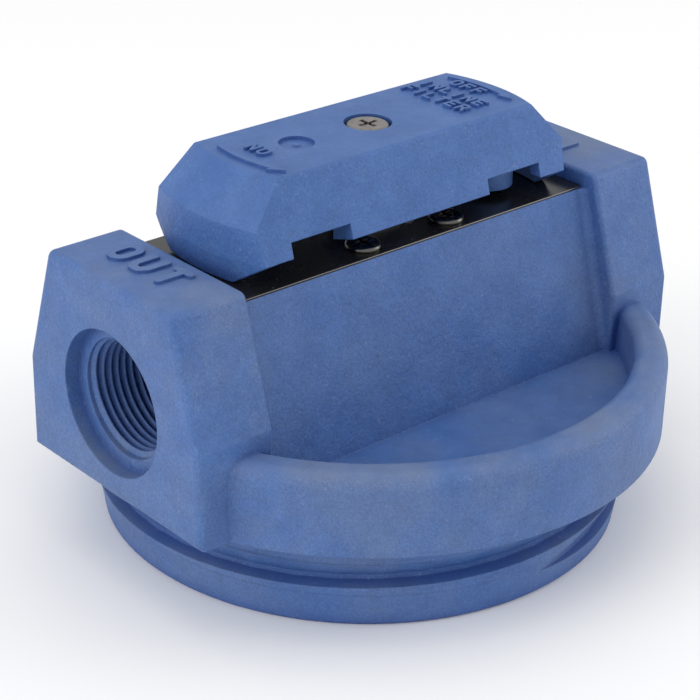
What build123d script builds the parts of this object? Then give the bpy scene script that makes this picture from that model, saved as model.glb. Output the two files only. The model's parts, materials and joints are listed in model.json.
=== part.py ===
# Head of a cartridge filter housing with a quarter-turn shut-off valve built in.
# Millimetres, +Z up.  The origin is on the valve axis, in the plane of the neck's lower end.
# The pipe ports lie along X: the outlet opens towards -X and the inlet towards +X.
import os
from math import cos, radians, sin

from build123d import *

# ---------------------------------------------------------------- driving dimensions
# neck that the filter bowl screws onto
neck_height = 22.5
neck_bore_radius = 52.0
neck_crest_radius = 60.9
neck_end_radius = 59.5
neck_end_chamfer = 0.8
neck_step_radius = 60.6
neck_step_z = 8.1
neck_step_height = 0.3
neck_collar_radius = 62.6
neck_collar_height = 2.5
neck_collar_slope = 0.6
neck_relief_depth = 0.9
neck_relief_z = 14.6
neck_relief_slope = 0.8
cavity_ceiling_z = 24.0
bowl_thread_pitch = 6.35
bowl_thread_depth = 2.8
bowl_thread_lower_lip = 1.8
bowl_thread_root_low = 1.3
bowl_thread_root_high = 0.3
bowl_thread_upper_lip = 4.2
bowl_thread_start_angle = -95.0
bowl_thread_start_z = 6.4
bowl_thread_turns = 1.25
bowl_thread_run_out = 24.0
thread_step_angle = 9.0
run_out_steps = 8
least_fade = 0.08
cutter_reach = 1.0
cutter_least_half = 0.03

# round rim and the pocket on each side of the valve body
rim_radius = 69.0
rim_inner_radius = 61.4
rim_top_z = 41.0
rim_outer_fillet = 3.4
rim_inner_fillet = 2.2
pocket_floor_z = 30.3

# port blocks, hexagonal seen along X
port_half_length = 69.7
block_inner_x = 50.7
block_top_z = 72.0
block_knee_z = 44.5
block_top_half = 21.2
block_knee_half = 29.9
block_top_fillet = 1.8
block_knee_fillet = 2.5
block_face_fillet = 1.7
block_inner_fillet = 1.0

# valve body between the blocks
body_top_z = 68.1
body_top_half = 18.3
body_foot_half = 28.3
inner_corner_fillet = 1.8

# pipe ports
port_z = 44.5
counterbore_radius = 16.2
counterbore_depth = 3.6
port_root_radius = 13.3
port_thread_length = 18.0
passage_radius = 8.0

# valve chamber, seats and passages
chamber_radius = 12.7
chamber_floor_z = 31.0
gland_pocket_radius = 13.2
gland_flange_height = 2.0
seat_pocket_radius = 8.8
seat_pocket_x = 17.2
seat_bore_radius = 6.0
transfer_x_end = 25.0
transfer_half = 5.0
transfer_top_z = 35.0
outlet_bore_radius = 4.9
spigot_inner_radius = 13.6
spigot_outer_radius = 16.0
spigot_end_z = 13.0

# rotor and stem
rotor_radius = 12.6
rotor_base_z = 31.3
rotor_top_z = 56.0
rotor_land_radius = 12.4
rotor_window_radius = 6.0
rotor_window_x = 3.5
rotor_slot_half = 5.0
rotor_slot_x = 7.8
stem_radius = 8.0
square_side = 11.0
square_top_z = 81.0
stop_lug_radius = 10.5
stop_lug_half_angle = 20.0
stop_play_angle = 1.0
stop_lug_height = 2.0
valve_travel = 90.0

# steel cover plate and its screws
plate_thickness = 0.5
plate_half_length = 50.3
plate_half_width = 18.2
plate_hole_radius = 8.8
plate_screw_x = 12.2
plate_screw_y = 12.9
plate_head_radius = 4.0
plate_head_height = 1.2
plate_head_rim = 0.35
plate_recess_depth = 0.8
plate_screw_radius = 1.9
plate_screw_length = 14.0

# handle
handle_top_z = 90.2
handle_knee_z = 81.2
handle_skirt_z = 74.1
handle_foot_z = 68.9
handle_top_half = 13.8
handle_skirt_half = 18.4
handle_foot_half = 10.5
handle_top_radius = 38.8
handle_knee_radius = 47.1
handle_foot_radius = 46.9
handle_wall = 3.0
handle_roof = 3.6
hub_radius = 11.0
hub_base_z = 71.4
rib_inner_half = 12.1
rib_inner_z = 72.1
rib_top_z = 84.0
rib_inset = 0.1
post_x = 31.8
post_y = -5.5
post_radius = 6.0
post_base_z = 70.2
notch_near_x = 20.0
notch_far_x = 36.0
notch_top_z = 77.4
screw_recess_radius = 5.3
screw_recess_depth = 1.7
dimple_x = -20.1
dimple_radius = 3.9
dimple_depth = 0.8
gate_radius = 0.9
gate_height = 0.4
mark_height = 0.7
mark_sink = 0.3
port_word_height = 8.4
port_word_stroke = 1.85
handle_word_height = 3.7
handle_word_stroke = 0.7
arrow_radius = 35.4
arrow_half_angle = 13.5
arrow_line = 1.3
arrow_head_half = 1.6
arrow_head_turn = 5.8
letter_width_ratio = 0.7
letter_pitch_ratio = 0.93

# handle screw and the insert that it runs in
handle_screw_radius = 2.5
handle_screw_head_radius = 4.95
handle_screw_head_height = 1.5
insert_radius = 3.6
insert_base_z = 68.0
insert_top_z = 80.0
screw_end_z = 69.5

# seals
stem_ring_section = 1.5
stem_ring_z = (60.0, 63.2)
gland_ring_section = 1.6
gland_ring_z = 60.5
base_ring_section = 1.6
base_ring_middle = 6.2
seat_ring_section = 1.4
seat_ring_middle = 7.9

plate_top_z = body_top_z + plate_thickness
handle_side_slope = (handle_skirt_half - handle_top_half) / (handle_top_z - handle_skirt_z)
handle_knee_half = handle_top_half + handle_side_slope * (handle_top_z - handle_knee_z)


# the strokes of each capital, in fractions of its width and height
letter_lines = {
    "E": [((0.5, 0.5), (-0.5, 0.5), (-0.5, -0.5), (0.5, -0.5)), ((-0.5, 0), (0.35, 0))],
    "F": [((0.5, 0.5), (-0.5, 0.5), (-0.5, -0.5)), ((-0.5, 0), (0.35, 0))],
    "I": [((0, -0.5), (0, 0.5))],
    "L": [((-0.5, 0.5), (-0.5, -0.5), (0.5, -0.5))],
    "N": [((-0.5, -0.5), (-0.5, 0.5), (0.5, -0.5), (0.5, 0.5))],
    "O": [],
    "R": [
        ((-0.5, -0.5), (-0.5, 0.5), (0.3, 0.5), (0.5, 0.25), (0.3, 0), (-0.5, 0)),
        ((0.1, 0), (0.5, -0.5)),
    ],
    "T": [((-0.5, 0.5), (0.5, 0.5)), ((0, 0.5), (0, -0.5))],
    "U": [((-0.5, 0.5), (-0.5, -0.25), (-0.25, -0.5), (0.25, -0.5), (0.5, -0.25), (0.5, 0.5))],
}


def save(piece, name):
    """Label one finished piece and write it to its own file."""
    piece.part.label = name
    export_step(piece.part, "parts/" + name + ".step")


def port_block():
    """One hexagonal pipe block, standing on the +X side, with its edges softened."""
    with BuildPart() as block:
        with BuildSketch(Plane.YZ.offset(block_inner_x)):
            with BuildLine():
                Polyline(
                    (-block_knee_half, neck_height),
                    (-block_knee_half, block_knee_z),
                    (-block_top_half, block_top_z),
                    (block_top_half, block_top_z),
                    (block_knee_half, block_knee_z),
                    (block_knee_half, neck_height),
                    close=True,
                )
            make_face()
        extrude(amount=port_half_length - block_inner_x)
        top_edges = block.edges().filter_by(Axis.X).group_by(Axis.Z)[-1]
        fillet(top_edges, block_top_fillet)
        knee_edges = block.edges().filter_by(Axis.X).filter_by_position(
            Axis.Z, block_knee_z - 0.5, block_knee_z + 0.5
        )
        fillet(knee_edges, block_knee_fillet)
        fillet(block.faces().sort_by(Axis.X)[-1].edges(), block_face_fillet)
        inner_edges = block.faces().sort_by(Axis.X)[0].edges()
        fillet(inner_edges.sort_by(Axis.Z)[1:], block_inner_fillet)
    return block.part


def thread_turns():
    """Angles along the bowl thread, closer together where the groove fades in and out."""
    whole_turn = bowl_thread_turns * 360
    middle_turn = whole_turn - 2 * bowl_thread_run_out
    middle_steps = round(middle_turn / thread_step_angle)
    start = [bowl_thread_run_out * step / run_out_steps for step in range(run_out_steps)]
    middle = [bowl_thread_run_out + middle_turn * step / middle_steps for step in range(middle_steps)]
    end = [whole_turn - bowl_thread_run_out + turn for turn in start]
    return start + middle + end + [whole_turn]


def bowl_thread_cutter():
    """The coarse right-hand groove that the bowl's thread runs in, fading out at both ends.

    Its lower flank is steep and its upper flank slopes.  Across it, x is the radius and y
    points down.
    """
    whole_turn = bowl_thread_turns * 360
    with BuildPart() as cutter:
        for turn in thread_turns():
            to_end = min(turn, whole_turn - turn) / bowl_thread_run_out
            fade = max(least_fade, sin(radians(90 * min(1, to_end))))
            angle = radians(bowl_thread_start_angle + turn)
            z = bowl_thread_start_z + bowl_thread_pitch * turn / 360
            floor = neck_crest_radius - bowl_thread_depth * fade
            outside = neck_crest_radius + cutter_reach
            root_low = bowl_thread_root_low * fade + cutter_least_half
            root_high = bowl_thread_root_high * fade - cutter_least_half
            lower_lip = bowl_thread_lower_lip * fade + cutter_least_half
            upper_lip = bowl_thread_upper_lip * fade + cutter_least_half
            across = Plane(
                origin=(0, 0, z),
                x_dir=(cos(angle), sin(angle), 0),
                z_dir=(-sin(angle), cos(angle), 0),
            )
            with BuildSketch(across):
                with BuildLine():
                    Polyline(
                        (floor, root_high),
                        (neck_crest_radius, -upper_lip),
                        (outside, -upper_lip),
                        (outside, lower_lip),
                        (neck_crest_radius, lower_lip),
                        (floor, root_low),
                        close=True,
                    )
                make_face()
        loft(ruled=True)
    return cutter.part


def arc_arrow(centre_angle, head_at_end):
    """A curved arrow about the valve axis, raised from the handle's top."""
    first = centre_angle - arrow_half_angle
    way = 1 if head_at_end else -1
    root_angle = centre_angle + way * arrow_half_angle
    root = Vector(cos(radians(root_angle)), sin(radians(root_angle)))
    tip_angle = root_angle + way * arrow_head_turn
    tip = Vector(cos(radians(tip_angle)), sin(radians(tip_angle)))
    with BuildPart() as arrow:
        with BuildSketch(Plane.XY.offset(handle_top_z - mark_sink)):
            with BuildLine():
                outer = CenterArc((0, 0), arrow_radius + arrow_line / 2, first, 2 * arrow_half_angle)
                inner = CenterArc((0, 0), arrow_radius - arrow_line / 2, first, 2 * arrow_half_angle)
                Line(outer @ 0, inner @ 0)
                Line(outer @ 1, inner @ 1)
            make_face()
            with BuildLine():
                Polyline(
                    root * (arrow_radius + arrow_head_half),
                    tip * arrow_radius,
                    root * (arrow_radius - arrow_head_half),
                    close=True,
                )
            make_face()
        extrude(amount=mark_height + mark_sink)
    return arrow.part


def letter(name, height, stroke):
    """One plain capital made of round-ended strokes, centred on the origin."""
    width = height * letter_width_ratio
    with BuildSketch(Plane.XY) as shape:
        if name == "O":
            SlotOverall(height, width, rotation=90)
            SlotOverall(height - 2 * stroke, width - 2 * stroke, rotation=90, mode=Mode.SUBTRACT)
        for line in letter_lines[name]:
            points = [(across * (width - stroke), along * (height - stroke)) for across, along in line]
            for start, end in zip(points, points[1:]):
                with BuildLine():
                    Line(start, end)
                trace(line_width=stroke)
            with Locations(*points):
                Circle(stroke / 2)
    return shape.sketch


def raised_word(word, x, y, z, turn, height, stroke):
    """A plain raised word lying on a horizontal face."""
    way = (cos(radians(turn)), sin(radians(turn)), 0)
    pitch = height * letter_pitch_ratio
    with BuildPart() as letters:
        for place, name in enumerate(word):
            along = (place - (len(word) - 1) / 2) * pitch
            middle = (x + along * way[0], y + along * way[1], z)
            with BuildSketch(Plane(origin=middle, x_dir=way, z_dir=(0, 0, 1))):
                add(letter(name, height, stroke))
        extrude(amount=mark_height + mark_sink)
    return letters.part


def head_body():
    """The moulded head: neck, rim, pockets, port blocks and valve chamber in one piece."""
    wall_slope = (body_foot_half - body_top_half) / (body_top_z - pocket_floor_z)
    block = port_block()
    thread_groove = bowl_thread_cutter()
    word_z = block_top_z - mark_sink
    out_word = raised_word("OUT", -58.3, 1.1, word_z, -90, port_word_height, port_word_stroke)
    in_word = raised_word("IN", 58.3, -1.1, word_z, 90, port_word_height, port_word_stroke)
    with BuildPart() as body:
        # neck, floor and rim, turned about the valve axis
        with BuildSketch(Plane.XZ):
            with BuildLine():
                collar_z = neck_height - neck_collar_height
                Polyline(
                    (0, cavity_ceiling_z),
                    (neck_bore_radius, cavity_ceiling_z),
                    (neck_bore_radius, 0),
                    (neck_end_radius - neck_end_chamfer, 0),
                    (neck_end_radius, neck_end_chamfer),
                    (neck_step_radius, neck_step_z),
                    (neck_crest_radius, neck_step_z + neck_step_height),
                    (neck_crest_radius, neck_relief_z),
                    (neck_crest_radius - neck_relief_depth, neck_relief_z + neck_relief_slope),
                    (neck_crest_radius - neck_relief_depth, collar_z - neck_collar_slope),
                    (neck_collar_radius, collar_z),
                    (neck_collar_radius, neck_height),
                    (rim_radius, neck_height),
                    (rim_radius, rim_top_z),
                    (rim_inner_radius, rim_top_z),
                    (rim_inner_radius - 0.6, pocket_floor_z),
                    (0, pocket_floor_z),
                    (0, cavity_ceiling_z),
                )
            make_face()
        revolve(axis=Axis.Z)
        rim_edges = body.edges().filter_by(GeomType.CIRCLE).group_by(Axis.Z)[-1]
        fillet(rim_edges.sort_by(SortBy.LENGTH)[-1], rim_outer_fillet)
        inner_edge = body.edges().filter_by(GeomType.CIRCLE).group_by(Axis.Z)[-1]
        fillet(inner_edge.sort_by(SortBy.LENGTH)[0], rim_inner_fillet)

        # valve body with its slanted front and back walls
        with BuildSketch(Plane.YZ.offset(-block_inner_x - 2)):
            foot = body_foot_half + wall_slope * (pocket_floor_z - cavity_ceiling_z - 1)
            with BuildLine():
                Polyline(
                    (-foot, cavity_ceiling_z + 1),
                    (-body_top_half, body_top_z),
                    (body_top_half, body_top_z),
                    (foot, cavity_ceiling_z + 1),
                    close=True,
                )
            make_face()
        extrude(amount=2 * (block_inner_x + 2))

        # pipe blocks
        add(block)
        add(block.rotate(Axis.Z, 180))

        # soft inner corners between the walls and the blocks
        def is_inner_corner(edge):
            top = max((edge @ 0).Z, (edge @ 1).Z)
            middle = edge @ 0.5
            on_block = abs(abs(middle.X) - block_inner_x) < 0.1
            return on_block and abs(top - body_top_z) < 0.1 and middle.Z < body_top_z - 5

        fillet(body.edges().filter_by(is_inner_corner), inner_corner_fillet)

        # cartridge spigot under the floor
        with BuildSketch(Plane.XY.offset(spigot_end_z)):
            Circle(spigot_outer_radius)
        extrude(amount=cavity_ceiling_z - spigot_end_z + 0.5)
        with BuildSketch(Plane.XY.offset(spigot_end_z)):
            Circle(spigot_inner_radius)
        extrude(amount=cavity_ceiling_z - spigot_end_z - 1.5, mode=Mode.SUBTRACT)

        # coarse bowl thread
        add(thread_groove, mode=Mode.SUBTRACT)

        # valve chamber, open at the top
        with BuildSketch(Plane.XY.offset(chamber_floor_z)):
            Circle(chamber_radius)
        extrude(amount=body_top_z - chamber_floor_z, mode=Mode.SUBTRACT)
        with BuildSketch(Plane.XY.offset(body_top_z - gland_flange_height)):
            Circle(gland_pocket_radius)
        extrude(amount=gland_flange_height, mode=Mode.SUBTRACT)

        # filtered water rises through the middle, unfiltered water falls beside it
        with BuildSketch(Plane.XY.offset(spigot_end_z)):
            Circle(outlet_bore_radius)
        extrude(amount=chamber_floor_z - spigot_end_z, mode=Mode.SUBTRACT)
        with BuildSketch(Plane.XY.offset(chamber_floor_z)):
            with Locations((transfer_x_end / 2, 0)):
                Rectangle(transfer_x_end, 2 * transfer_half)
        extrude(amount=transfer_top_z - chamber_floor_z, mode=Mode.SUBTRACT)
        drop_width = transfer_x_end - spigot_outer_radius - 1.5
        with BuildSketch(Plane.XY.offset(cavity_ceiling_z)):
            with Locations((transfer_x_end - drop_width / 2, 0)):
                Rectangle(drop_width, 2 * transfer_half)
        extrude(amount=chamber_floor_z - cavity_ceiling_z, mode=Mode.SUBTRACT)

        # ports, passages and seat pockets on both sides
        for side in (-1, 1):
            face = Plane(origin=(side * port_half_length, 0, port_z), z_dir=(-side, 0, 0))
            with BuildSketch(face):
                Circle(counterbore_radius)
            extrude(amount=counterbore_depth, mode=Mode.SUBTRACT)
            with BuildSketch(face):
                Circle(port_root_radius)
            extrude(amount=counterbore_depth + port_thread_length, mode=Mode.SUBTRACT)
            with BuildSketch(face):
                Circle(passage_radius)
            extrude(amount=port_half_length, mode=Mode.SUBTRACT)
            pocket = Plane(origin=(side * seat_pocket_x, 0, port_z), z_dir=(-side, 0, 0))
            with BuildSketch(pocket):
                Circle(seat_pocket_radius)
            extrude(amount=seat_pocket_x, mode=Mode.SUBTRACT)

        # pilot holes for the cover screws
        with BuildSketch(Plane.XY.offset(body_top_z)):
            with GridLocations(2 * plate_screw_x, 2 * plate_screw_y, 2, 2):
                Circle(plate_screw_radius)
        extrude(amount=-(plate_screw_length - plate_thickness + 1), mode=Mode.SUBTRACT)

        # flow marks on the blocks
        add(out_word)
        add(in_word)
    return body


def cover_plate():
    """Black steel plate that keeps the valve in; its sector slot stops the stem's lug."""
    with BuildPart() as plate:
        with BuildSketch(Plane.XY.offset(body_top_z)):
            Rectangle(2 * plate_half_length, 2 * plate_half_width)
            Circle(plate_hole_radius, mode=Mode.SUBTRACT)
            with GridLocations(2 * plate_screw_x, 2 * plate_screw_y, 2, 2):
                Circle(plate_screw_radius + 0.15, mode=Mode.SUBTRACT)
        extrude(amount=plate_thickness)
        reach = valve_travel / 2 + stop_lug_half_angle + stop_play_angle
        with BuildSketch(Plane.XY.offset(body_top_z)):
            with BuildLine():
                rim = CenterArc((0, 0), stop_lug_radius + 0.3, -reach, 2 * reach)
                Line(rim @ 0, (0, 0))
                Line((0, 0), rim @ 1)
            make_face()
        extrude(amount=plate_thickness, mode=Mode.SUBTRACT)
        fillet(plate.edges().filter_by(Axis.Z).filter_by_position(Axis.X, 50, 51), 0.8)
        fillet(plate.edges().filter_by(Axis.Z).filter_by_position(Axis.X, -51, -50), 0.8)
    return plate


def cover_plate_screws():
    """Four button-head screws that hold the cover plate down."""
    with BuildPart() as screws:
        with BuildSketch(Plane.XY.offset(plate_top_z)):
            with GridLocations(2 * plate_screw_x, 2 * plate_screw_y, 2, 2):
                Circle(plate_head_radius)
        extrude(amount=plate_head_height)
        rims = screws.edges().filter_by(GeomType.CIRCLE).group_by(Axis.Z)[-1]
        fillet(rims, plate_head_height - plate_head_rim)
        with BuildSketch(Plane.XY.offset(plate_top_z)):
            with GridLocations(2 * plate_screw_x, 2 * plate_screw_y, 2, 2):
                Circle(plate_screw_radius - 0.05)
        extrude(amount=-plate_screw_length)
        with BuildSketch(Plane.XY.offset(plate_top_z + plate_head_height)):
            with GridLocations(2 * plate_screw_x, 2 * plate_screw_y, 2, 2):
                Rectangle(3.6, 0.9)
                Rectangle(0.9, 3.6)
        extrude(amount=-plate_recess_depth, mode=Mode.SUBTRACT)
    return screws


def handle_blank(inset, roof_z, foot_z):
    """The handle's outer form, or with an inset the hollow inside it."""
    slope_end = inset * 0.6
    with BuildPart() as blank:
        with BuildSketch(Plane.XZ):
            with BuildLine():
                Polyline(
                    (0, foot_z),
                    (handle_foot_radius - inset, foot_z),
                    (handle_foot_radius + 0.4 - inset, handle_skirt_z),
                    (handle_knee_radius - inset, handle_knee_z - slope_end),
                    (handle_top_radius - inset, roof_z),
                    (0, roof_z),
                    close=True,
                )
            make_face()
        revolve(axis=Axis.Z)
        with BuildSketch(Plane.YZ.offset(-handle_knee_radius - 1)):
            low = handle_foot_half if inset == 0 else handle_skirt_half - inset
            with BuildLine():
                Polyline(
                    (-low, foot_z),
                    (-handle_skirt_half + inset, handle_skirt_z),
                    (-handle_knee_half + inset, handle_knee_z - slope_end),
                    (-handle_top_half + inset, roof_z),
                    (handle_top_half - inset, roof_z),
                    (handle_knee_half - inset, handle_knee_z - slope_end),
                    (handle_skirt_half - inset, handle_skirt_z),
                    (low, foot_z),
                    close=True,
                )
            make_face()
        extrude(amount=2 * handle_knee_radius + 2, mode=Mode.INTERSECT)
    return blank


def handle():
    """Long hollow handle with chamfered top, end walls close to the plate, hub, ribs and post."""
    outer = handle_blank(0, handle_top_z, handle_foot_z)
    hollow = handle_blank(handle_wall, handle_top_z - handle_roof, handle_foot_z - 1)
    rib_top_half = handle_skirt_half - handle_side_slope * (rib_top_z - handle_skirt_z)
    with BuildPart() as inside:
        with BuildSketch(Plane.XY.offset(hub_base_z)):
            Circle(hub_radius)
        extrude(amount=handle_top_z - 1 - hub_base_z)
        # the post that is seen through one notch
        with BuildSketch(Plane.XY.offset(post_base_z)):
            with Locations((post_x, post_y)):
                Circle(post_radius)
        extrude(amount=handle_top_z - 1 - post_base_z)
        # ribs that thicken both skirts between the notches, square to the slanted skirt below
        with BuildSketch(Plane.YZ.offset(-notch_near_x)):
            with BuildLine():
                Polyline(
                    (rib_inner_half, rib_inner_z),
                    (handle_skirt_half - rib_inset, handle_skirt_z),
                    (rib_top_half - rib_inset, rib_top_z),
                    (rib_inner_half, rib_top_z),
                    close=True,
                )
            make_face()
            mirror(about=Plane.YZ)
        extrude(amount=2 * notch_near_x)
        add(handle_blank(0, handle_top_z, handle_foot_z).part, mode=Mode.INTERSECT)
    word_z = handle_top_z - mark_sink
    marks = [
        raised_word("ON", -29.8, 0.6, word_z, 90, handle_word_height, handle_word_stroke),
        raised_word("OFF", 32.0, 2.0, word_z, -90, handle_word_height, handle_word_stroke),
        raised_word("INLINE", 26.6, 1.2, word_z, -90, handle_word_height, handle_word_stroke),
        raised_word("FILTER", 21.4, 1.2, word_z, -90, handle_word_height, handle_word_stroke),
        arc_arrow(181, True),
        arc_arrow(3, False),
    ]
    with BuildPart() as grip:
        add(outer.part)
        top_edges = grip.faces().sort_by(Axis.Z)[-1].edges()
        fillet(top_edges, 0.9)

        # hollow inside, then the long skirts are cut back to their own height
        add(hollow.part, mode=Mode.SUBTRACT)
        with BuildSketch(Plane.XY.offset(handle_foot_z - 1)):
            Circle(handle_foot_radius - handle_wall)
        extrude(amount=handle_skirt_z - handle_foot_z + 1, mode=Mode.SUBTRACT)

        # notches in the lower edge of both skirts
        notch_middle = (notch_near_x + notch_far_x) / 2
        with BuildSketch(Plane.XY.offset(handle_skirt_z - 0.5)):
            with Locations((-notch_middle, 0), (notch_middle, 0)):
                Rectangle(notch_far_x - notch_near_x, 2 * handle_skirt_half + 2)
        extrude(amount=notch_top_z - handle_skirt_z + 0.5, mode=Mode.SUBTRACT)

        # hub round the stem, ribs and post
        add(inside.part)
        with BuildSketch(Plane.XY.offset(hub_base_z)):
            Rectangle(square_side + 0.1, square_side + 0.1)
        extrude(amount=square_top_z + 0.3 - hub_base_z, mode=Mode.SUBTRACT)

        # screw recess, screw hole and the round dimple
        with BuildSketch(Plane.XY.offset(handle_top_z)):
            Circle(screw_recess_radius)
        extrude(amount=-screw_recess_depth, mode=Mode.SUBTRACT)
        with BuildSketch(Plane.XY.offset(handle_top_z)):
            Circle(handle_screw_radius + 0.2)
        extrude(amount=-(handle_top_z - square_top_z), mode=Mode.SUBTRACT)
        with BuildSketch(Plane.XY.offset(handle_top_z)):
            with Locations((dimple_x, 0)):
                Circle(dimple_radius)
        extrude(amount=-dimple_depth, mode=Mode.SUBTRACT)
        with BuildSketch(Plane.XY.offset(handle_top_z - dimple_depth)):
            with Locations((dimple_x, 0)):
                Circle(gate_radius)
        extrude(amount=gate_height, taper=25)

        # marks for the two valve positions
        for mark in marks:
            add(mark)
    return grip


def handle_screw():
    """Cross-recessed pan-head screw that clamps the handle to the stem."""
    seat_z = handle_top_z - screw_recess_depth
    with BuildPart() as screw:
        with BuildSketch(Plane.XY.offset(seat_z)):
            Circle(handle_screw_head_radius)
        extrude(amount=handle_screw_head_height)
        fillet(screw.edges().filter_by(GeomType.CIRCLE).group_by(Axis.Z)[-1], 1.1)
        with BuildSketch(Plane.XY.offset(seat_z)):
            Circle(handle_screw_radius - 0.05)
        extrude(amount=screw_end_z - seat_z)
        with BuildSketch(Plane.XY.offset(seat_z + handle_screw_head_height)):
            Rectangle(5.0, 1.1)
            Rectangle(1.1, 5.0)
        extrude(amount=-1.5, taper=12, mode=Mode.SUBTRACT)
    return screw


def stem_insert():
    """Threaded brass insert moulded into the top of the stem."""
    with BuildPart() as insert:
        with BuildSketch(Plane.XY.offset(insert_base_z)):
            Circle(insert_radius)
            Circle(handle_screw_radius, mode=Mode.SUBTRACT)
        extrude(amount=insert_top_z - insert_base_z)
    return insert


def valve_rotor():
    """Rotor, stem, stop lug and square drive in one piece."""
    with BuildPart() as rotor:
        with BuildSketch(Plane.XY.offset(rotor_base_z)):
            Circle(rotor_radius)
        extrude(amount=rotor_top_z - rotor_base_z)
        # relieved middle, so that only the seats and the two lands touch it
        with BuildSketch(Plane.XY.offset(rotor_base_z + 2.5)):
            Circle(rotor_radius + 1)
            Circle(rotor_land_radius, mode=Mode.SUBTRACT)
        extrude(amount=rotor_top_z - rotor_base_z - 5.0, mode=Mode.SUBTRACT)
        with BuildSketch(Plane.XY.offset(rotor_top_z)):
            Circle(stem_radius)
        extrude(amount=plate_top_z - rotor_top_z)
        with BuildSketch(Plane.XY.offset(plate_top_z - 0.5)):
            Rectangle(square_side, square_side)
        extrude(amount=square_top_z - plate_top_z + 0.5)

        # stop lug, which swings in the plate's sector slot
        lug_middle = valve_travel / 2
        with BuildSketch(Plane.XY.offset(body_top_z + 0.2)):
            with BuildLine():
                tip = CenterArc(
                    (0, 0), stop_lug_radius, lug_middle - stop_lug_half_angle, 2 * stop_lug_half_angle
                )
                Line(tip @ 0, (0, 0))
                Line((0, 0), tip @ 1)
            make_face()
        extrude(amount=stop_lug_height)

        # filtered water: up the middle and out to the outlet side
        with BuildSketch(Plane.XY.offset(rotor_base_z)):
            Circle(outlet_bore_radius)
        extrude(amount=port_z - rotor_base_z, mode=Mode.SUBTRACT)
        with BuildSketch(Plane(origin=(rotor_window_x, 0, port_z), z_dir=(-1, 0, 0))):
            Circle(rotor_window_radius)
        extrude(amount=rotor_window_x + rotor_radius + 1, mode=Mode.SUBTRACT)

        # unfiltered water: in from the inlet side and down a slot
        slot_top = port_z + rotor_window_radius
        with BuildSketch(Plane.XY.offset(rotor_base_z)):
            with Locations(((rotor_slot_x + rotor_radius) / 2 + 0.5, 0)):
                Rectangle(rotor_radius - rotor_slot_x + 1, 2 * rotor_slot_half)
        extrude(amount=slot_top - rotor_base_z, mode=Mode.SUBTRACT)

        # grooves for the base ring and the stem rings, and the bore for the insert
        with BuildSketch(Plane.XY.offset(rotor_base_z)):
            Circle(base_ring_middle + base_ring_section / 2 + 0.05)
            Circle(base_ring_middle - base_ring_section / 2 - 0.05, mode=Mode.SUBTRACT)
        extrude(amount=base_ring_section - 0.3, mode=Mode.SUBTRACT)
        for ring_z in stem_ring_z:
            with BuildSketch(Plane.XY.offset(ring_z - stem_ring_section / 2)):
                Circle(stem_radius + 1)
                Circle(stem_radius - stem_ring_section + 0.1, mode=Mode.SUBTRACT)
            extrude(amount=stem_ring_section, mode=Mode.SUBTRACT)
        with BuildSketch(Plane.XY.offset(insert_base_z)):
            Circle(insert_radius)
        extrude(amount=insert_top_z - insert_base_z, mode=Mode.SUBTRACT)
        with BuildSketch(Plane.XY.offset(insert_top_z - 1)):
            Circle(handle_screw_radius + 0.2)
        extrude(amount=square_top_z - insert_top_z + 1.5, mode=Mode.SUBTRACT)
    return rotor


def flat_ring(inner, outer, base_z, height):
    """A plain washer or bush about the valve axis."""
    with BuildPart() as ring:
        with BuildSketch(Plane.XY.offset(base_z)):
            Circle(outer)
            Circle(inner, mode=Mode.SUBTRACT)
        extrude(amount=height)
    return ring


def gland_bush():
    """Flanged bush that closes the chamber round the stem, held down by the plate."""
    base_z = rotor_top_z + 1.3
    with BuildPart() as bush:
        with BuildSketch(Plane.XY.offset(base_z)):
            Circle(chamber_radius - 0.05)
        extrude(amount=body_top_z - base_z)
        with BuildSketch(Plane.XY.offset(body_top_z - gland_flange_height + 0.05)):
            Circle(gland_pocket_radius - 0.1)
        extrude(amount=gland_flange_height - 0.05)
        with BuildSketch(Plane.XY.offset(base_z)):
            Circle(stem_radius + 0.05)
        extrude(amount=body_top_z - base_z, mode=Mode.SUBTRACT)
        with BuildSketch(Plane.XY.offset(gland_ring_z - gland_ring_section / 2)):
            Circle(chamber_radius + 1)
            Circle(chamber_radius - gland_ring_section - 0.05, mode=Mode.SUBTRACT)
        extrude(amount=gland_ring_section, mode=Mode.SUBTRACT)
    return bush


def o_ring(middle_radius, section, height):
    """A round-section rubber ring about the valve axis."""
    with BuildPart() as ring:
        with BuildSketch(Plane.XZ):
            with Locations((middle_radius, height)):
                Circle(section / 2)
        revolve(axis=Axis.Z)
    return ring


def seat_ring(side):
    """The round-section rubber ring behind one port seat, about the port's axis."""
    ring_x = side * (seat_pocket_x - seat_ring_section / 2)
    with BuildPart() as ring:
        with BuildSketch(Plane.XZ):
            with Locations((ring_x, port_z + seat_ring_middle)):
                Circle(seat_ring_section / 2 - 0.02)
        revolve(axis=Axis(origin=(0, 0, port_z), direction=(1, 0, 0)))
    return ring


def port_seat(side):
    """Plastic seat ring between one port passage and the rotor, hollowed to the rotor's curve."""
    with BuildPart() as seat:
        outer_x = seat_pocket_x - seat_ring_section - 0.05
        with BuildSketch(Plane(origin=(side * outer_x, 0, port_z), z_dir=(-side, 0, 0))):
            Circle(seat_pocket_radius - 0.1)
            Circle(seat_bore_radius, mode=Mode.SUBTRACT)
        extrude(amount=outer_x - 8.0)
        with BuildSketch(Plane.XY.offset(port_z - seat_pocket_radius - 1)):
            Circle(rotor_land_radius + 0.1)
        extrude(amount=2 * seat_pocket_radius + 2, mode=Mode.SUBTRACT)
    return seat


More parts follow.
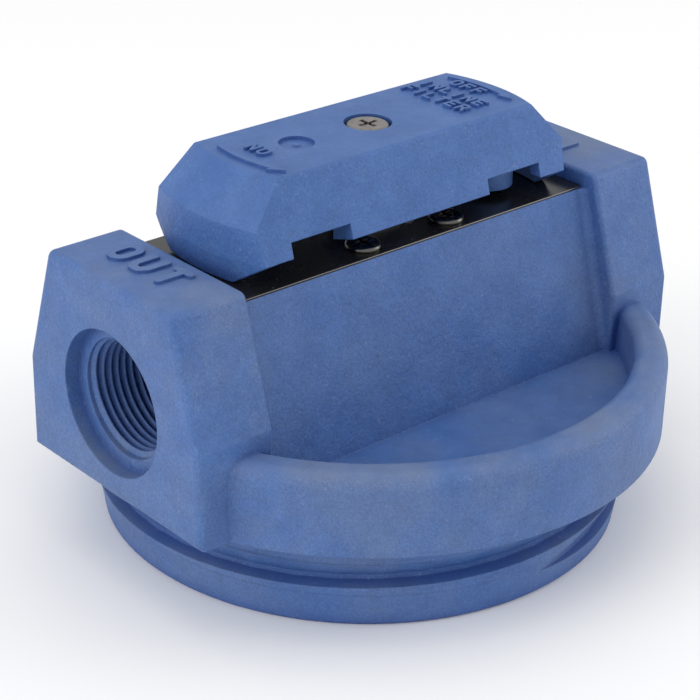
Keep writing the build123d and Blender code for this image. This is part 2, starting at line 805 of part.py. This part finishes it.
os.makedirs("parts", exist_ok=True)
save(head_body(), "head_body")
save(cover_plate(), "cover_plate")
save(cover_plate_screws(), "cover_plate_screws")
save(handle(), "handle")
save(handle_screw(), "handle_screw")
save(stem_insert(), "stem_insert")
save(valve_rotor(), "valve_rotor")
save(flat_ring(stem_radius + 0.2, rotor_radius, rotor_top_z + 0.05, 1.2), "thrust_washer")
save(gland_bush(), "gland_bush")
gland_ring_middle = chamber_radius - gland_ring_section / 2 - 0.02
save(o_ring(gland_ring_middle, gland_ring_section - 0.1, gland_ring_z), "gland_o_ring")
stem_ring_middle = stem_radius - stem_ring_section / 2 + 0.08
save(o_ring(stem_ring_middle, stem_ring_section - 0.06, stem_ring_z[1]), "stem_o_ring_upper")
save(o_ring(stem_ring_middle, stem_ring_section - 0.06, stem_ring_z[0]), "stem_o_ring_lower")
base_ring_z = chamber_floor_z + base_ring_section / 2
save(o_ring(base_ring_middle, base_ring_section - 0.04, base_ring_z), "rotor_base_o_ring")
save(port_seat(-1), "outlet_seat")
save(port_seat(1), "inlet_seat")
save(seat_ring(-1), "outlet_seat_o_ring")
save(seat_ring(1), "inlet_seat_o_ring")
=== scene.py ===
import json
import math

import bpy
from mathutils import Matrix, Vector


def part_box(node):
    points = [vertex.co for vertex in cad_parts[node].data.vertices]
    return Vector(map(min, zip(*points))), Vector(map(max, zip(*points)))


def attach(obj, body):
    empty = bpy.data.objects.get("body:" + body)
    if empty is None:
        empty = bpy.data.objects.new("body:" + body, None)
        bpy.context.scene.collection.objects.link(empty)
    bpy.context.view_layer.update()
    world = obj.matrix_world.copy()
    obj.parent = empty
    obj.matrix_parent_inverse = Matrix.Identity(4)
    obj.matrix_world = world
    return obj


MM = 0.001

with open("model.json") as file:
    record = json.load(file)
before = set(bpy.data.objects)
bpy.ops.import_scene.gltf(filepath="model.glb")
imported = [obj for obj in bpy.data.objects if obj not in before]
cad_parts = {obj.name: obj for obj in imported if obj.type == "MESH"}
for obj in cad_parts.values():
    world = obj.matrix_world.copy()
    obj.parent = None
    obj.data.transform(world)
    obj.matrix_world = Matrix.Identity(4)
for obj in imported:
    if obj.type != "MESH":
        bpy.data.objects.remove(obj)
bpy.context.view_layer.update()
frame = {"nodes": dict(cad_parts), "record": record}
nodes = frame["nodes"]
mounts = {mount["name"]: mount for mount in frame["record"]["mounts"]}

# ---------------------------------------------------------------- camera
CAMERA_AZIMUTH = math.radians(-41.81)
CAMERA_ELEVATION = math.radians(26.33)
CAMERA_ROLL = math.radians(1.2)
CAMERA_DISTANCE = 469.7 * MM
CAMERA_LENS = 105.93
CAMERA_AIM_Z = 35.18 * MM
CAMERA_AIM_SIDE = -2.81 * MM


def make_camera():
    """A camera at the object's front left, a little above it."""
    back = Vector((
        math.sin(CAMERA_AZIMUTH) * math.cos(CAMERA_ELEVATION),
        -math.cos(CAMERA_AZIMUTH) * math.cos(CAMERA_ELEVATION),
        math.sin(CAMERA_ELEVATION),
    ))
    level_right = Vector((math.cos(CAMERA_AZIMUTH), math.sin(CAMERA_AZIMUTH), 0))
    level_up = back.cross(level_right)
    right = level_right * math.cos(CAMERA_ROLL) + level_up * math.sin(CAMERA_ROLL)
    up = level_up * math.cos(CAMERA_ROLL) - level_right * math.sin(CAMERA_ROLL)
    target = Vector((0, 0, CAMERA_AIM_Z)) + right * CAMERA_AIM_SIDE
    data = bpy.data.cameras.new("camera")
    data.lens = CAMERA_LENS
    data.sensor_width = 36
    data.clip_start = 0.01
    data.clip_end = 20
    camera = bpy.data.objects.new("camera", data)
    turn = Matrix((right, up, back)).transposed()
    camera.matrix_world = Matrix.Translation(target + back * CAMERA_DISTANCE) @ turn.to_4x4()
    bpy.context.scene.collection.objects.link(camera)
    bpy.context.scene.camera = camera


# ---------------------------------------------------------------- light and floor
FLOOR_REACH = 3.0
FLOOR_WHITE = (0.96, 0.96, 0.96, 1)
ROOM_BRIGHTNESS = 0.84
LIGHT_AIM = Vector((0, 0, 0.04))
# the name, place, side and power of each light
SOFT_BOXES = (
    ("left_box", (-0.85, 0.10, 0.45), 0.6, 2.4),
    ("right_box", (0.80, -0.55, 0.40), 0.5, 1.95),
    ("top_box", (-0.10, 0.10, 1.0), 0.6, 1.1),
)


def soft_box(name, place, size, power):
    """A square area light that shines at the object."""
    data = bpy.data.lights.new(name, "AREA")
    data.size = size
    data.energy = power
    light = bpy.data.objects.new(name, data)
    light.location = place
    light.rotation_mode = "QUATERNION"
    light.rotation_quaternion = (Vector(place) - LIGHT_AIM).to_track_quat("Z", "Y")
    bpy.context.scene.collection.objects.link(light)


def make_stage():
    """A pale floor under the object, a pale room round it and the soft lights."""
    mesh = bpy.data.meshes.new("floor")
    signs = ((-1, -1), (1, -1), (1, 1), (-1, 1))
    corners = [(x * FLOOR_REACH, y * FLOOR_REACH, 0) for x, y in signs]
    mesh.from_pydata(corners, [], [(0, 1, 2, 3)])
    floor = bpy.data.objects.new("floor", mesh)
    bpy.context.scene.collection.objects.link(floor)
    material = bpy.data.materials.new("floor_paint")
    material.use_nodes = True
    shader = material.node_tree.nodes["Principled BSDF"]
    shader.inputs["Base Color"].default_value = FLOOR_WHITE
    shader.inputs["Roughness"].default_value = 0.8
    shader.inputs["Specular IOR Level"].default_value = 0.2
    mesh.materials.append(material)
    world = bpy.data.worlds.new("room")
    world.use_nodes = True
    background = world.node_tree.nodes["Background"]
    background.inputs["Color"].default_value = (1, 1, 1, 1)
    background.inputs["Strength"].default_value = ROOM_BRIGHTNESS
    bpy.context.scene.world = world
    bpy.context.scene.view_settings.view_transform = "Standard"
    for name, place, size, power in SOFT_BOXES:
        soft_box(name, place, size, power)


# ---------------------------------------------------------------- shader helpers
class Shader:
    """Short calls for the nodes of one material."""

    def __init__(self, name):
        self.material = bpy.data.materials.new(name)
        self.material.use_nodes = True
        self.tree = self.material.node_tree
        self.surface = self.tree.nodes["Principled BSDF"]
        coordinates = self.tree.nodes.new("ShaderNodeTexCoord")
        self.place = coordinates.outputs["Object"]

    def link(self, source, target):
        self.tree.links.new(source, target)

    def feed(self, value, target):
        if isinstance(value, bpy.types.NodeSocket):
            self.link(value, target)
        else:
            target.default_value = value

    def constant(self, **values):
        """Sets fixed values on the shader's own sockets."""
        for name, value in values.items():
            self.surface.inputs[name.replace("_", " ")].default_value = value

    def noise(self, scale, detail=3.0, roughness=0.5):
        node = self.tree.nodes.new("ShaderNodeTexNoise")
        node.inputs["Scale"].default_value = scale
        node.inputs["Detail"].default_value = detail
        node.inputs["Roughness"].default_value = roughness
        self.link(self.place, node.inputs["Vector"])
        return node.outputs["Fac"]

    def math(self, kind, first, second=0.0):
        node = self.tree.nodes.new("ShaderNodeMath")
        node.operation = kind
        self.feed(first, node.inputs[0])
        self.feed(second, node.inputs[1])
        return node.outputs[0]

    def span(self, value, low, high, to_low=0.0, to_high=1.0):
        """Maps low..high to to_low..to_high, smoothly and held at the ends."""
        node = self.tree.nodes.new("ShaderNodeMapRange")
        node.interpolation_type = "SMOOTHSTEP"
        self.feed(value, node.inputs["Value"])
        node.inputs["From Min"].default_value = low
        node.inputs["From Max"].default_value = high
        node.inputs["To Min"].default_value = to_low
        node.inputs["To Max"].default_value = to_high
        return node.outputs["Result"]

    def mix(self, amount, first, second):
        node = self.tree.nodes.new("ShaderNodeMix")
        node.data_type = "RGBA"
        self.feed(amount, node.inputs["Factor"])
        self.feed(first, node.inputs[6])
        self.feed(second, node.inputs[7])
        return node.outputs[2]

    def shade(self, colour, brightness):
        """The colour made brighter or darker."""
        node = self.tree.nodes.new("ShaderNodeHueSaturation")
        self.link(brightness, node.inputs["Value"])
        self.link(colour, node.inputs["Color"])
        return node.outputs["Color"]

    def parts_of(self, vector):
        node = self.tree.nodes.new("ShaderNodeSeparateXYZ")
        self.link(vector, node.inputs[0])
        return node.outputs

    def normal(self):
        return self.tree.nodes.new("ShaderNodeNewGeometry").outputs["Normal"]

    def crevice(self, distance):
        """1 in the open and lower in a corner or a groove."""
        node = self.tree.nodes.new("ShaderNodeAmbientOcclusion")
        node.samples = 8
        node.inputs["Distance"].default_value = distance
        return node.outputs["AO"]

    def soft_edges(self, radius):
        """The surface's normal with its edges rounded by radius."""
        node = self.tree.nodes.new("ShaderNodeBevel")
        node.samples = 6
        self.feed(radius, node.inputs["Radius"])
        return node.outputs["Normal"]

    def bump(self, height, distance, strength, normal):
        """Raises the surface by height on top of the given normal."""
        node = self.tree.nodes.new("ShaderNodeBump")
        node.inputs["Distance"].default_value = distance
        self.feed(strength, node.inputs["Strength"])
        self.link(height, node.inputs["Height"])
        self.link(normal, node.inputs["Normal"])
        self.link(node.outputs["Normal"], self.surface.inputs["Normal"])


# ---------------------------------------------------------------- materials
FRESH_BLUE = (0.038, 0.114, 0.340, 1)
BRIGHT_BLUE = (0.054, 0.138, 0.380, 1)
BLOOM_AND_LIGHT_BLUE = (0.146, 0.192, 0.305, 1)
# the colour of the painted shade in corners and grooves
PAINTED_SHADE_BLUE = (0.030, 0.080, 0.285, 1)
# the pale bloom colour, partly real chalky bloom and partly painted light
FLECK_BLUE = (0.17, 0.23, 0.40, 1)


def blue_plastic(name, bloom_and_light, edge_radius, marks_z):
    """Blue glass-filled plastic: grained walls, smoother tops, a pale dusty bloom that is also painted light,
    and painted shade in the corners.

    The raised marks begin at marks_z, and their edges stay crisp.
    """
    shader = Shader(name)
    x, y, z = shader.parts_of(shader.place)
    up = shader.parts_of(shader.normal())[2]
    clouds = shader.noise(38, 5, 0.62)
    blotches = shader.noise(110, 4, 0.6)
    mottle = shader.noise(260, 4, 0.6)
    speckle = shader.noise(900, 2, 0.6)
    grain = shader.noise(2100, 2, 0.6)
    pebbles = shader.noise(620, 2, 0.45)
    wall = shader.span(up, 0.45, 0.9, 1.0, 0.3)

    # deep and fresh blue where nothing has settled
    fresh = shader.mix(shader.span(blotches, 0.35, 0.68), FRESH_BLUE, BRIGHT_BLUE)
    # chalky bloom, mostly on what is handled and faces outwards or up; it is also painted light that makes
    # up-facing surfaces and the shaded pocket paler
    square = shader.math("ADD", shader.math("MULTIPLY", x, x), shader.math("MULTIPLY", y, y))
    handled_and_lit = shader.span(shader.math("SQRT", square), 44 * MM, 66 * MM, 0.4, 0.85)
    settled_and_lit = shader.span(up, -0.1, 0.95, 0.6, 1.0)
    patchy = shader.span(clouds, 0.36, 0.66, 0.25, 1.0)
    amount = shader.math("MULTIPLY", shader.math("MULTIPLY", handled_and_lit, settled_and_lit), patchy)
    dusty_and_lit = shader.mix(shader.math("MULTIPLY", amount, bloom_and_light), fresh, BLOOM_AND_LIGHT_BLUE)
    # painted shade: a darker, deeper blue in the corners and grooves, from ambient occlusion
    open_air = shader.span(shader.crevice(6 * MM), 0.25, 0.85)
    shaded = shader.mix(open_air, PAINTED_SHADE_BLUE, dusty_and_lit)
    # pale flecks, then a fine mottling that is stronger on the grained walls
    flecked = shader.mix(shader.span(speckle, 0.62, 0.74, 0.0, 0.35), shaded, FLECK_BLUE)
    fine = shader.math("MULTIPLY", shader.math("SUBTRACT", grain, 0.5), shader.math("MULTIPLY", wall, 0.9))
    coarse = shader.math("MULTIPLY", shader.math("SUBTRACT", mottle, 0.5), 0.28)
    brightness = shader.math("ADD", shader.math("ADD", fine, coarse), 1.0)
    shader.link(shader.shade(flecked, brightness), shader.surface.inputs["Base Color"])

    shader.link(shader.span(clouds, 0.3, 0.7, 0.46, 0.62), shader.surface.inputs["Roughness"])
    shader.constant(Specular_IOR_Level=0.4)

    height = shader.math("ADD", shader.math("MULTIPLY", pebbles, 0.7), shader.math("MULTIPLY", grain, 0.45))
    radius = shader.span(z, marks_z - 0.6 * MM, marks_z - 0.1 * MM, edge_radius, 0.15 * MM)
    shader.bump(height, 0.2 * MM, wall, shader.soft_edges(radius))
    return shader.material


def black_plate():
    """Smooth black steel with a painted highlight, a bright metallic line along its upper edges, and a few
    dust specks.
    """
    shader = Shader("black_plate")
    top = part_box("cover_plate")[1][2]
    dust = shader.span(shader.noise(1300, 2, 0.7), 0.66, 0.74, 0.0, 0.6)
    haze = shader.noise(60, 4, 0.6)
    base = shader.mix(shader.span(haze, 0.4, 0.7, 0, 0.3), (0.010, 0.010, 0.011, 1), (0.020, 0.019, 0.018, 1))
    # painted highlight: the upper edge of each side is drawn bright and metallic, where the edge catches
    # light
    side = shader.span(shader.parts_of(shader.normal())[2], 0.3, 0.7, 1.0, 0.0)
    upper = shader.span(shader.parts_of(shader.place)[2], top - 0.3 * MM, top - 0.15 * MM)
    painted_edge_highlight = shader.math("MULTIPLY", side, upper)
    edge = shader.mix(painted_edge_highlight, base, (0.22, 0.21, 0.20, 1))
    shader.link(shader.mix(dust, edge, (0.20, 0.19, 0.17, 1)), shader.surface.inputs["Base Color"])
    shader.link(shader.span(haze, 0.3, 0.7, 0.18, 0.30), shader.surface.inputs["Roughness"])
    shader.link(shader.math("MULTIPLY", painted_edge_highlight, 0.8), shader.surface.inputs["Metallic"])
    shader.bump(shader.noise(140, 2, 0.5), 0.04 * MM, 0.3, shader.soft_edges(0.15 * MM))
    return shader.material


def plain_metal(name, colour, roughness, grain_scale, stain, stain_amount):
    """Metal with fine tool marks and darker stains."""
    shader = Shader(name)
    spots = shader.span(shader.noise(260, 5, 0.65), 0.48, 0.66, 0.0, stain_amount)
    # darker in the stain colour towards corners and recesses
    corner = shader.span(shader.crevice(1.2 * MM), 0.25, 0.85, 1.0, 0.0)
    base = shader.mix(spots, (*colour, 1), (*stain, 1))
    shader.link(shader.mix(corner, base, (*stain, 1)), shader.surface.inputs["Base Color"])
    gloss = shader.span(shader.noise(400, 4), 0.3, 0.7, roughness, roughness + 0.18)
    shader.link(gloss, shader.surface.inputs["Roughness"])
    shader.constant(Metallic=1.0)
    shader.bump(shader.noise(grain_scale, 3, 0.6), 0.03 * MM, 0.5, shader.soft_edges(0.15 * MM))
    return shader.material


def plain_plastic(name, colour, roughness, grain_scale):
    """Evenly coloured turned or moulded plastic or rubber with a fine grain."""
    shader = Shader(name)
    shade = shader.span(shader.noise(90, 4, 0.6), 0.3, 0.7)
    darker = tuple(0.82 * part for part in colour)
    shader.link(shader.mix(shade, (*darker, 1), (*colour, 1)), shader.surface.inputs["Base Color"])
    gloss = shader.span(shader.noise(300, 3), 0.3, 0.7, roughness, roughness + 0.12)
    shader.link(gloss, shader.surface.inputs["Roughness"])
    shader.bump(shader.noise(grain_scale, 2, 0.5), 0.03 * MM, 0.4, shader.soft_edges(0.12 * MM))
    return shader.material


def dress(material, *names):
    """Gives CAD nodes their material."""
    for name in names:
        node = nodes[name]
        node.data.materials.clear()
        node.data.materials.append(material)


# ---------------------------------------------------------------- pipe threads
THREAD_PITCH = 25.4 / 14 * MM
THREAD_DEPTH = 1.25 * MM
THREAD_TURNS = 8.6
THREAD_INSET = 0.4 * THREAD_PITCH
ROOT_HALF = 0.47 * THREAD_PITCH
CREST_HALF = 0.07 * THREAD_PITCH
FADE_IN_TURNS = 0.6
FADE_OUT_TURNS = 0.8
LEAST_RISE = 0.02
STEPS_PER_TURN = 72
WALL_OVERLAP = 0.06 * MM


def port_thread(name, mount_name, body, material):
    """The ridge of one pipe thread, coiled inside its port from the outer end inwards."""
    mount = mounts[mount_name]
    middle = Vector(mount["pos_m"])
    outward = Vector(mount["axis"])
    wall_radius = mount["dims"]["r_mm"] * MM
    length = mount["dims"]["length_mm"] * MM
    start = middle + outward * (length / 2 - THREAD_INSET)
    across = Vector((0, outward.x, 0))
    steps = int(THREAD_TURNS * STEPS_PER_TURN)
    vertices = []
    for step in range(steps + 1):
        turn = step / STEPS_PER_TURN
        fade_in = turn / FADE_IN_TURNS
        fade_out = (THREAD_TURNS - turn) / FADE_OUT_TURNS
        rise = THREAD_DEPTH * max(LEAST_RISE, min(1.0, fade_in, fade_out))
        angle = 2 * math.pi * turn
        along = start - outward * (turn * THREAD_PITCH)
        radial = across * math.cos(angle) + Vector((0, 0, 1)) * math.sin(angle)
        for offset, radius in (
            (ROOT_HALF, wall_radius + WALL_OVERLAP),
            (CREST_HALF, wall_radius - rise),
            (-CREST_HALF, wall_radius - rise),
            (-ROOT_HALF, wall_radius + WALL_OVERLAP),
        ):
            vertices.append(along + outward * offset + radial * radius)
    faces = []
    for step in range(steps):
        for corner in range(4):
            following = (corner + 1) % 4
            faces.append((
                4 * step + corner,
                4 * step + following,
                4 * step + 4 + following,
                4 * step + 4 + corner,
            ))
    faces.append((3, 2, 1, 0))
    faces.append(tuple(4 * steps + corner for corner in range(4)))
    mesh = bpy.data.meshes.new(name)
    mesh.from_pydata(vertices, [], faces)
    mesh.update()
    piece = bpy.data.objects.new(name, mesh)
    bpy.context.scene.collection.objects.link(piece)
    mesh.materials.append(material)
    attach(piece, body)


# ---------------------------------------------------------------- the scene
MARK_HEIGHT = 0.7 * MM
BLOCK_TOP_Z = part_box("head_body")[1].z - MARK_HEIGHT
HANDLE_TOP_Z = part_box("handle")[1].z - MARK_HEIGHT
make_camera()
make_stage()
blue_body = blue_plastic("blue_body", 0.9, 0.5 * MM, BLOCK_TOP_Z)
blue_handle = blue_plastic("blue_handle", 0.35, 0.35 * MM, HANDLE_TOP_Z)
dress(blue_body, "head_body")
dress(blue_handle, "handle")
dress(black_plate(), "cover_plate")
plate_screw_steel = plain_metal(
    "plate_screw_steel", (0.13, 0.127, 0.12), 0.17, 900, (0.03, 0.025, 0.02), 0.4
)
dress(plate_screw_steel, "cover_plate_screws")
stainless = plain_metal("stainless", (0.25, 0.243, 0.232), 0.28, 700, (0.11, 0.08, 0.06), 0.7)
dress(stainless, "handle_screw")
brass = plain_metal("brass", (0.72, 0.52, 0.22), 0.25, 800, (0.30, 0.20, 0.08), 0.4)
dress(brass, "stem_insert")
white = plain_plastic("white_acetal", (0.80, 0.80, 0.76), 0.38, 1200)
dress(white, "valve_rotor", "gland_bush", "thrust_washer")
seat = plain_plastic("seat_plastic", (0.86, 0.86, 0.83), 0.25, 1400)
dress(seat, "inlet_seat", "outlet_seat")
rubber = plain_plastic("rubber", (0.02, 0.02, 0.02), 0.5, 1600)
dress(
    rubber,
    "gland_o_ring",
    "inlet_seat_o_ring",
    "outlet_seat_o_ring",
    "stem_o_ring_upper",
    "stem_o_ring_lower",
    "rotor_base_o_ring",
)
port_thread("outlet_port_thread", "outlet_port", "head", blue_body)
port_thread("inlet_port_thread", "inlet_port", "head", blue_body)
